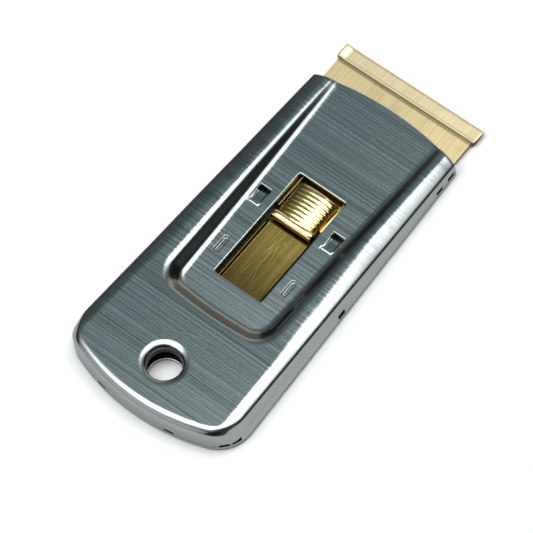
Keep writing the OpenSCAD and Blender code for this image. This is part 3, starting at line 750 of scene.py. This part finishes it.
# The plate's edge is darkened where it goes up into the seam: painted shade between the plate and the shell.
add_piece("base_sheet", thick_mesh("base_sheet", base, BASE_T, lambda p: SEAM_R if p.z > 1 else MOUTH_R),
          "housing", "base_plate", "base_steel",
          lambda x, y, z: smooth((z - SEAM_Z + 0.7 * SEAM_R) / (0.5 * SEAM_R)))


# %% Copies by Geometry Nodes
def grow_with_nodes(name, template, points, material, lean=0.0):
    """Copies of a mesh on points given as (x, y, z, turn about Z), made by Geometry Nodes and realized.
    Lean is a named input: the turn about X that each copy has more than the one before it."""
    source = bpy.data.objects.new(name + "_one", template)
    scene.collection.objects.link(source)
    mesh = bpy.data.meshes.new(name + "_points")
    mesh.from_pydata([Vector(p[:3]) / 1000 for p in points], [], [])
    turn = mesh.attributes.new("turn", "FLOAT", "POINT")
    turn.data.foreach_set("value", [p[3] for p in points])
    holder = bpy.data.objects.new(name, mesh)
    scene.collection.objects.link(holder)
    tree = bpy.data.node_groups.new(name, "GeometryNodeTree")
    tree.interface.new_socket("Geometry", in_out="INPUT", socket_type="NodeSocketGeometry")
    lean_socket = tree.interface.new_socket("Lean", in_out="INPUT", socket_type="NodeSocketFloat")
    tree.interface.new_socket("Geometry", in_out="OUTPUT", socket_type="NodeSocketGeometry")
    start, end = tree.nodes.new("NodeGroupInput"), tree.nodes.new("NodeGroupOutput")
    one = node(tree, "GeometryNodeObjectInfo", in_Object=source).outputs["Geometry"]
    facing = node(tree, "GeometryNodeInputNamedAttribute", data_type="FLOAT", in_Name="turn")
    tip = maths(tree, "MULTIPLY", node(tree, "GeometryNodeInputIndex").outputs[0], start.outputs["Lean"])
    pose = node(tree, "ShaderNodeCombineXYZ", in_X=tip, in_Z=facing.outputs["Attribute"])
    copies = node(tree, "GeometryNodeInstanceOnPoints", in_Points=start.outputs[0], in_Instance=one,
                  in_Rotation=pose.outputs[0])
    real = node(tree, "GeometryNodeRealizeInstances", in_0=copies.outputs[0])
    paint = node(tree, "GeometryNodeSetMaterial", in_Geometry=real.outputs[0], in_Material=material)
    tree.links.new(paint.outputs[0], end.inputs[0])
    modifier = holder.modifiers.new("grow", "NODES")
    modifier.node_group = tree
    modifier[lean_socket.identifier] = lean
    grown = bpy.data.meshes.new_from_object(holder.evaluated_get(bpy.context.evaluated_depsgraph_get()))
    grown.name = name
    bpy.data.objects.remove(holder)
    bpy.data.objects.remove(source)
    print(name, len(points), "copies")
    return grown


# %% Crimped tabs
TAB_SIZE, TAB_INSET, TAB_Z = (0.7, CRIMP_LEN - 0.1, 2.0), 1.25, 1.7


def bevelled_box(size, bevel):
    """A bmesh box about the origin with rounded edges, in millimetres."""
    bm = bmesh.new()
    bmesh.ops.create_cube(bm, size=1)
    bmesh.ops.scale(bm, vec=size, verts=bm.verts)
    bmesh.ops.bevel(bm, geom=bm.edges[:], offset=bevel, segments=3, profile=0.5, affect="EDGES")
    return bm


tab_places = []
for share in CORNER_CRIMPS:
    turn = FLARE + (CORNER_TURN - FLARE) * share
    x, y = turned(CORNER_CENTER, CORNER_R - TAB_INSET, turn)
    tab_places += [(x, y, TAB_Z, turn), (-x, y, TAB_Z, math.pi - turn)]
for side in (-1, 1):
    turn = -math.pi / 2 + side * math.radians(REAR_CRIMP_ANGLE)
    tab_places.append((*turned(REAR_CENTER, REAR_EDGE_R - TAB_INSET, turn), TAB_Z, turn))
tab_mesh = to_mesh("crimp_tab", bevelled_box(TAB_SIZE, 0.15))
# The crimped tabs are darkened all over: painted shade inside the shell's slots.
add_piece("crimp_tabs", grow_with_nodes("crimp_tabs", tab_mesh, tab_places, metals["base_steel"]), "housing",
          "base_plate", "base_steel", lambda x, y, z: 0 * x + 1.0)

# %% [markdown]
# ## The brass slide
#
# The carrier is a platform under the blade and a stem under the window. The stem's edges are
# turned up, the clips fold over the blade's ends, and two lugs meet the stop tabs. It could be
# extruded from its plan, but a height function on a patch gives the edges their soft bends.

# %% Carrier: the sheet
CARRIER_TOP, CARRIER_T, HEM = 1.25, 0.5, 0.1
STEM_X, STEM_REAR, STEM_R = 6.2, -16.35, 1.5
STEM_RIM_FRONT, STEM_RIM_H = 4.15, 0.6
PLATFORM_X, PLATFORM_REAR, PLATFORM_FRONT, NECK_R, TONGUE_X = 19.26, 26.634, 47.15, 3.0, 18.5
CLIP_Y0, CLIP_Y1, CLIP_REACH, CLIP_T, ROOF_Z = 32.65, 36.65, 1.5, 0.35, 1.58
RIVET_X, RIVET_Y, RIVET_R = 3.5, 28.95, 0.8
rivet_places = [(side * RIVET_X, RIVET_Y) for side in (-1, 1)]


def carrier_height(x, y):
    up = smooth((np.abs(x) - 5.35) / 0.45)
    ends = smooth((y - STEM_REAR - 0.6) / 1.2) * (1 - smooth((y - STEM_RIM_FRONT + 0.6) / 0.6))
    return CARRIER_TOP + STEM_RIM_H * up * ends * (np.abs(x) < STEM_X + 0.5)


def carrier_radius(p):
    return 0.02 if abs(p.y - RIVET_Y) < 0.9 and abs(abs(p.x) - RIVET_X) < 0.9 else HEM


px = PLATFORM_X - HEM
rear_corner = np.array([STEM_X - STEM_R, STEM_REAR + STEM_R])
neck = np.array([STEM_X + NECK_R, PLATFORM_REAR - NECK_R])
right = [turned(rear_corner, STEM_R - HEM, math.radians(-90 + 15 * i)) for i in range(7)]
right += [np.array([STEM_X - HEM, y]) for y in np.arange(rear_corner[1] + 0.4, neck[1], 0.4)]
right += [turned(neck, NECK_R + HEM, math.radians(180 - 15 * i)) for i in range(7)]
right += [np.array(p) for p in ((px, PLATFORM_REAR + HEM), (px, CLIP_Y1 + HEM), (TONGUE_X, CLIP_Y1 + 0.9),
                                (TONGUE_X, PLATFORM_FRONT - HEM))]
plan = right + [np.array([-x, y]) for x, y in right[::-1]]
bend_x = np.arange(5.2, 6.06, 0.09)
carrier = Surface()
carrier.patch([plan] + [circle(p, RIVET_R + 0.02, 24) for p in rivet_places], carrier_height,
              [lattice(np.concatenate([-bend_x, bend_x]), np.arange(STEM_REAR + 0.4, STEM_RIM_FRONT + 1, 0.35))])
carrier_meshes = [thick_mesh("carrier_sheet", carrier, CARRIER_T, carrier_radius)]
print("carrier plan:", len(plan), "points")

# %% Carrier: clips and lugs
CLIP_BEND_R = 0.3
LUG_SIZE, LUG_Z = (2.8, 0.5, 1.6), 1.6
BUTTON_REAR = 4.646
profile = [(PLATFORM_X, CARRIER_TOP - 0.3), (PLATFORM_X, 1.45)]
profile += [(PLATFORM_X - CLIP_BEND_R * (1 - math.cos(a)), ROOF_Z + CLIP_T + CLIP_BEND_R * (math.sin(a) - 1))
            for a in np.linspace(0, math.pi / 2, 6)]
profile += [(PLATFORM_X - CLIP_T - CLIP_REACH + 0.1, ROOF_Z + CLIP_T)]
ys = np.linspace(CLIP_Y0 + 0.1, CLIP_Y1 - 0.1, 5)
clip = Surface()
for side in (1, -1):
    clip.grid([[(side * x, y, z) for y in ys] for x, z in profile], flip=side > 0)
carrier_meshes.append(thick_mesh("clips", clip, CLIP_T, lambda p: 0.08))
for side in (-1, 1):
    lug = bevelled_box(LUG_SIZE, 0.1)
    bmesh.ops.translate(lug, verts=lug.verts, vec=(side * tab_mid, PLATFORM_REAR + 0.25, LUG_Z))
    carrier_meshes.append(to_mesh("lug", lug))


def joined(name, meshes):
    """One mesh from several that share a material."""
    bm = bmesh.new()
    for mesh in meshes:
        bm.from_mesh(mesh)
    bmesh.ops.scale(bm, vec=(1000, 1000, 1000), verts=bm.verts)
    return to_mesh(name, bm)


def carrier_painted_shade(x, y, z):
    """Painted shade: darker towards the rear, along the stem's edges, and at the foot of the button's rolled end.
    """
    corners = np.maximum(smooth((np.abs(x) - STEM_X + 1.0) / 0.3), smooth((y - BUTTON_REAR + 1.0) / 0.9))
    return np.maximum(0.72 * smooth((3 - y) / 17), 0.8 * (y < 12) * corners)


add_piece("carrier_sheet", joined("carrier_sheet", carrier_meshes), "carrier", "blade_carrier",
          "carrier_brass", carrier_painted_shade)

# %% [markdown]
# ## The rivets
#
# Two small rivets hold the button's sprung leaf on the carrier and show when the slide is
# drawn in. A round part could be spun with the Screw modifier; here its section is swept as
# rings of a grid, as the hang hole's collar was, and the ends are filled.

# %% Rivets
SHANK_R, HEAD_R, HEAD_Z, HEAD_EDGE, CROWN_Z = 0.78, 1.3, 1.81, 2.1, 2.31
rivet_rows = [(SHANK_R, 0.75), (SHANK_R, HEAD_Z), (HEAD_R, HEAD_Z), (HEAD_R, HEAD_EDGE)]
rivet_rows += [(HEAD_R - 0.25 * (1 - math.cos(a)), HEAD_EDGE + 0.2 * math.sin(a))
               for a in np.linspace(0.2, math.pi / 2, 6)]
rivet_rows.append((0.02, CROWN_Z))


def filled(surface, sides, weld=0.0):
    """A closed bmesh from an open surface: its holes of up to that many sides (0 for any) are filled."""
    bm = surface.to_bmesh()
    if weld:
        bmesh.ops.remove_doubles(bm, verts=bm.verts, dist=weld)
    bmesh.ops.holes_fill(bm, edges=bm.edges, sides=sides)
    bmesh.ops.recalc_face_normals(bm, faces=bm.faces)
    return bm


rivets = Surface()
for p in rivet_places:
    rivets.grid([closed_ring(p, r, 32, lambda y: z) for r, z in rivet_rows], flip=True)
add_piece("rivet_heads", to_mesh("rivet_heads", filled(rivets, 64, 0.003)), "carrier", "leaf_rivets", "rivet_brass")

# %% [markdown]
# ## The thumb button
#
# One strip of brass: a pad under the rivets, a ramp, two flat flanges that slide under the
# panel, and a dome between them whose rear end is rolled straight across. Its ribs could be a
# bump texture, but they show in the outline and each carries a highlight, so they are copies
# of one arched rib, each leaning a little further back as the dome falls.

# %% Button: the leaf
LEAF_X, LEAF_T, LEAF_HEM = 6.75, 0.4, 0.08
PAD_FRONT, PAD_REAR, PAD_TOP, SHELF_TOP = 30.25, 27.65, 1.73, 2.75
BUTTON_FRONT, BUTTON_X, FLANGE_REAR = 15.646, 5.5, 8.166


def leaf_height(x, y):
    ramp = np.clip((PAD_REAR - y) / (PAD_REAR - WINDOW_FRONT), 0, 1)
    lean = 0.2 * np.clip(np.abs(x) - BUTTON_X, 0, 2) * smooth((WINDOW_FRONT + 1.5 - y) / 1.5)
    return PAD_TOP + (SHELF_TOP - PAD_TOP) * (0.75 * ramp + 0.25 * smooth(ramp)) - lean


out_x, in_x = LEAF_X - LEAF_HEM, BUTTON_X + 0.22 + LEAF_HEM
leaf_front, leaf_rear, opening = PAD_FRONT - LEAF_HEM, FLANGE_REAR + LEAF_HEM, WINDOW_FRONT + 1.5
leaf_plan = [(out_x, leaf_front), (-out_x, leaf_front), (-out_x, leaf_rear), (-in_x, leaf_rear),
             (-in_x, opening), (in_x, opening), (in_x, leaf_rear), (out_x, leaf_rear)]
ramp_points = lattice(np.linspace(-6.6, 6.6, 12), np.arange(WINDOW_FRONT - 1, PAD_REAR + 0.5, 0.6))
leaf = Surface()
leaf.patch([leaf_plan[::-1]] + [circle(p, RIVET_R + 0.1, 24) for p in rivet_places], leaf_height, [ramp_points])
leaf_mesh = thick_mesh("leaf", leaf, LEAF_T, lambda p: 0.02 if p.y > 28 and abs(p.x) < 5 else LEAF_HEM)
print("leaf:", len(leaf_mesh.vertices), "vertices")

# %% Button: the dome and its rolled rear
DOME_TOP, DOME_ARCH, DOME_BEND, DOME_LIP = 4.4, 1.25, 0.0062, 0.6
ROLL_R, ROLL_TOP, ROLL_DROOP, GROOVE_S = 1.15, 4.05, 0.3, 9.55


def dome_z(x, skirt=0.0):
    """The dome across its width: arched, with a skirt that drops steeply at its sides."""
    k = abs(x) / BUTTON_X
    return DOME_TOP - DOME_ARCH * k ** 2.3 - skirt * float(smooth((k - 0.9) / 0.1))


def dome_point(x_share, s):
    """A point s mm behind the button's front. The front edge is rounded, the dome falls to the rear, and the
    skirt stays clear of the carrier when the button is pressed."""
    x = BUTTON_X * x_share
    fall = 0.0 if s > DOME_LIP else DOME_LIP * (1 - math.sqrt(1 - (1 - s / DOME_LIP) ** 2))
    skirt = min(0.75, 0.95 - fall - 0.0367 * s - DOME_BEND * s * s)
    return x, BUTTON_FRONT - s, dome_z(x, skirt) - fall - DOME_BEND * s * s


shares = np.sin(np.linspace(-math.pi / 2, math.pi / 2, 41)) * 0.5 + np.linspace(-1, 1, 41) * 0.5
dome_s = np.concatenate([np.linspace(0.02, DOME_LIP, 7), np.linspace(0.9, GROOVE_S, 22)])
dome_rows = [[dome_point(k, s) for k in shares] for s in dome_s]
for i in range(15):
    phi = math.radians(-62 + 152 * i / 14)
    y, z = BUTTON_REAR + ROLL_R - ROLL_R * math.sin(phi), ROLL_TOP - ROLL_R + ROLL_R * math.cos(phi)
    dome_rows.append([(BUTTON_X * k, y, z - ROLL_DROOP * abs(k) ** 8) for k in shares])
dome = Surface()
dome.grid(dome_rows)
dome_mesh = thick_mesh("dome", dome, LEAF_T, lambda p: 0.08)
print("dome:", len(dome_rows), "rows of", len(shares))

# %% Button: the ribs
RIB_W, RIB_H, RIB_PITCH, RIB_REACH, RIB_SINK, RIBS = 1.06, 0.12, 1.13, 0.92, 0.03, 8
rib_section = [(0.0, 0.0), (0.03, 0.35), (0.08, 0.52), (0.2, 0.7), (0.35, 0.87), (0.5, 0.97), (0.58, 1.0),
               (0.66, 0.97), (0.78, 0.84), (0.9, 0.62), (0.95, 0.45), (0.985, 0.2), (1.0, 0.0)]


def rib_point(x, back_share, up):
    ease = float(smooth((RIB_REACH - abs(x) / BUTTON_X) / 0.12))
    return x, RIB_W * (0.5 - back_share), dome_z(x) - DOME_TOP - RIB_SINK + RIB_H * ease * up


rib = Surface()
rib.grid([[rib_point(x, *at) for x in RIB_REACH * BUTTON_X * shares] for at in rib_section])
rib_s = [1.1 + RIB_PITCH * k for k in range(RIBS)]
rib_points = [(0, BUTTON_FRONT - s, DOME_TOP - DOME_BEND * s * s, 0) for s in rib_s]
ribs_mesh = grow_with_nodes("button_ribs", to_mesh("rib", filled(rib, 0)), rib_points, metals["button_brass"],
                            2 * DOME_BEND * RIB_PITCH)


def button_painted_shade(x, y, z):
    """Painted shade on the flanges under the panel and in the hollow of the rolled end."""
    hollow = (y < BUTTON_REAR + ROLL_R) * (z < ROLL_TOP - 0.6 * ROLL_R)
    return np.maximum(0.72 * (np.abs(x) > BUTTON_X + 0.15), 0.85 * hollow)


add_piece("button_sheet", joined("button_sheet", [leaf_mesh, dome_mesh, ribs_mesh]), "button", "thumb_button",
          "button_brass", button_painted_shade)

# %% [markdown]
# ## The blade and its spine
#
# The blade is a thin plate with a ground bevel at its hidden edge, and the spine is a strip
# folded over its back; one end is bent up a little. A bevelled cube would do for either from
# afar. The plate is made from rows instead, so that the painted shade beside the spine can be an
# attribute, and the fold is a section swept along X, so that it is drawn only once.

# %% Blade
BLADE_X, BLADE_TOP, BLADE_T = 18.85, 1.52, 0.25
BLADE_EDGE, BLADE_BACK, BEVEL, BEVEL_DROP = 32.25, 50.75, 1.4, 0.11
SPINE_REAR = 47.25
row_ys = (BLADE_EDGE, BLADE_EDGE + BEVEL, 36, 39, 42, 45, 46.25, 46.4, 46.55, 46.7, 47, 49, BLADE_BACK)
blade, skins = Surface(), []
for z, lift in ((BLADE_TOP, -BEVEL_DROP), (BLADE_TOP - BLADE_T, BEVEL_DROP)):
    skins.append([[(x, y, z + lift * (y == BLADE_EDGE)) for x in np.linspace(BLADE_X, -BLADE_X, 40)]
                  for y in row_ys])
    blade.grid(skins[-1])
for end in (0, -1):
    blade.grid([skin[end] for skin in skins])
    blade.grid([[row[end] for row in skin] for skin in skins])
# Painted shadow and reflection: a dark strip on the blade just ahead of the spine's step.
add_piece("blade_plate", to_mesh("blade_plate", filled(blade, 0, 0.001), 20), "blade", "razor_blade", "blade_steel",
          lambda x, y, z: 0.58 * smooth((y - SPINE_REAR + 1.0) / 0.45))

# %% Spine
SPINE_X, SPINE_FRONT, SPINE_LOW, SPINE_HIGH, SPINE_C = 19.5, 51.25, 0.895, 1.895, 0.12
SLOT_LOW, SLOT_HIGH = 1.23, 1.56
CURL_H, CURL_X, CURL_LEN = 0.24, -17.2, 2.2
nose_r = (SPINE_HIGH - SPINE_LOW) / 2
nose_y = SPINE_FRONT - nose_r
mid_y, mid_z = (SPINE_FRONT + SPINE_REAR) / 2, (SPINE_HIGH + SPINE_LOW) / 2
section = [(SPINE_REAR + 0.1, 1.57), (SPINE_REAR, 1.59), (SPINE_REAR + 0.05, 1.66), (SPINE_REAR + 0.24, 1.84)]
section += [(SPINE_REAR + 0.3 + SPINE_C * (1 - math.cos(a)), SPINE_HIGH - SPINE_C * (1 - math.sin(a)))
            for a in np.linspace(0.9, math.pi / 2, 4)]
section += [(y, SPINE_HIGH) for y in np.linspace(SPINE_REAR + 0.7, nose_y, 8)]
section += [(nose_y + nose_r * math.sin(a), mid_z + nose_r * math.cos(a))
            for a in np.linspace(0.2, math.pi - 0.2, 14)]
section += [(y, SPINE_LOW) for y in np.linspace(nose_y, SPINE_REAR + 0.5, 4)]
section += [(SPINE_REAR + SPINE_C, SPINE_LOW), (SPINE_REAR, SPINE_LOW + SPINE_C), (SPINE_REAR, SLOT_LOW)]
section += [(nose_y, SLOT_LOW), (nose_y + 0.1, mid_z), (nose_y, SLOT_HIGH)]

stations = [(-SPINE_X, 0.1), (-SPINE_X + 0.04, 0.04), (-SPINE_X + 0.12, 0.0)]
for start, end, count in ((-SPINE_X + 0.3, -SPINE_X + 3, 10), (-14, 14, 29), (16, SPINE_X - 0.3, 4)):
    stations += [(x, 0.0) for x in np.linspace(start, end, count)]
stations += [(SPINE_X - 0.12, 0.0), (SPINE_X - 0.04, 0.04), (SPINE_X, 0.1)]


def spine_point(x, y, z, pinch):
    curl = CURL_H * float(smooth((CURL_X - x) / CURL_LEN)) if z > mid_z else 0.0
    return x, mid_y + (y - mid_y) * (1 - pinch / 2), mid_z + (z - mid_z) * (1 - pinch) + curl


spine_bm = bmesh.new()
hoops = [[spine_bm.verts.new(spine_point(x, y, z, pinch)) for y, z in section] for x, pinch in stations]
m = len(section)
for a, b in zip(hoops, hoops[1:]):
    for i in range(m):
        spine_bm.faces.new((a[i], a[(i + 1) % m], b[(i + 1) % m], b[i]))
caps = [spine_bm.faces.new(hoop) for hoop in (hoops[0], hoops[-1])]
bmesh.ops.triangulate(spine_bm, faces=caps)
bmesh.ops.recalc_face_normals(spine_bm, faces=spine_bm.faces)
# Painted shade over the bright bend along the spine's rear edge, which dims its highlight.
add_piece("spine_fold", to_mesh("spine_fold", spine_bm, 30), "blade", "blade_spine", "spine_metal",
          lambda x, y, z: 0.6 * (1 - smooth((y - SPINE_REAR - 0.5) / 0.3)))

# %% [markdown]
# ## Floor and light
#
# The photograph was taken on white with soft light, and the polished bends go from white to
# black. Metal shows what surrounds it, so the surroundings are the light: a white floor, one
# long soft box overhead that lies across the view, a dim card behind and a dim warm one in
# front, and a world that darkens towards the right. An HDRI could stand for all of these, but
# then no single reflection could be moved.

# %% Floor
PAPER_GREY, PAPER_VARY = 0.9, 0.005
floor_mesh = bpy.data.meshes.new("floor")
floor_mesh.from_pydata([(-3, -3, 0), (3, -3, 0), (3, 3, 0), (-3, 3, 0)], [], [(0, 1, 2, 3)])
floor = bpy.data.objects.new("floor", floor_mesh)
scene.collection.objects.link(floor)
paper = bpy.data.materials.new("paper")
paper.use_nodes = True
tree = paper.node_tree
shader = tree.nodes["Principled BSDF"].inputs
shader["Roughness"].default_value = 0.9
shader["Specular IOR Level"].default_value = 0.1
fibre = node(tree, "ShaderNodeTexNoise", in_Scale=900.0, in_Detail=3.0).outputs[0]
shade = remap(tree, fibre, 0.3, 0.7, PAPER_GREY - PAPER_VARY, PAPER_GREY + PAPER_VARY)
tree.links.new(shade, shader["Base Color"])
floor_mesh.materials.append(paper)
print("floor:", [round(d, 2) for d in floor.dimensions])


# %% Soft boxes
def soft_box(name, place, aim, size, power):
    light = bpy.data.lights.new(name, "AREA")
    light.shape = "RECTANGLE"
    light.size, light.size_y = size
    light.energy = power
    obj = bpy.data.objects.new(name, light)
    way = (Vector(aim) - Vector(place)).normalized()
    obj.matrix_world = Matrix.Translation(place) @ way.to_track_quat("-Z", "Y").to_matrix().to_4x4()
    scene.collection.objects.link(obj)
    return obj


key = soft_box("key", (-0.1335, -0.0863, 1.0), (-0.1335, -0.0863, 0.0), (1.41, 0.57), 13.4)
key.rotation_euler = (0, 0, math.radians(57))
soft_box("rear_card", (-0.45, -1.3, 0.6), (0, 0, 0.1), (1.6, 1.1), 4.5)
soft_box("front_card", (-0.4, 1.3, 0.4), (0, 0, 0.0), (1.4, 0.7), 2.2).data.color = (1.0, 0.9, 0.78)

# %% World
world = bpy.data.worlds.new("room")
scene.world = world
world.use_nodes = True
tree = world.node_tree
axes = node(tree, "ShaderNodeSeparateXYZ", in_0=node(tree, "ShaderNodeTexCoord").outputs["Generated"])


def world_ramp(axis, low, high, stops):
    """Colours along one axis of the view direction."""
    ramp = node(tree, "ShaderNodeValToRGB", in_0=remap(tree, axes.outputs[axis], low, high))
    while len(ramp.color_ramp.elements) < len(stops):
        ramp.color_ramp.elements.new(0.5)
    for element, (at, colour) in zip(ramp.color_ramp.elements, stops):
        element.position = (at - low) / (high - low)
        element.color = (*colour, 1)
    return ramp.outputs[0]


GREYS = ((-1, 0.04), (-0.8, 0.07), (-0.6, 0.13), (-0.41, 0.31), (-0.36, 0.335), (-0.31, 0.31), (-0.2, 0.27),
         (0.0, 0.17), (0.3, 0.03), (0.75, 0.03), (0.95, 0.25), (1, 0.3))
across = world_ramp("X", -1, 1, [(x, (0.68 * v, v, 1.06 * v)) for x, v in GREYS])
upward = world_ramp("Z", 0, 1, [(0.0, (0.18, 0.11, 0.1)), (0.3, (0.85, 0.56, 0.5)), (0.5, (1.0, 0.74, 0.68)),
                                (0.75, (0.95, 0.95, 0.95)), (1.0, (1.0, 1.0, 1.0))])
room = node(tree, "ShaderNodeMix", data_type="RGBA", blend_type="MULTIPLY", in_0=1.0, in_6=across, in_7=upward)
tree.links.new(room.outputs[2], tree.nodes["Background"].inputs["Color"])
scene.view_settings.view_transform = "Standard"
scene.view_settings.look = "None"
print("world:", len(GREYS), "greys across")
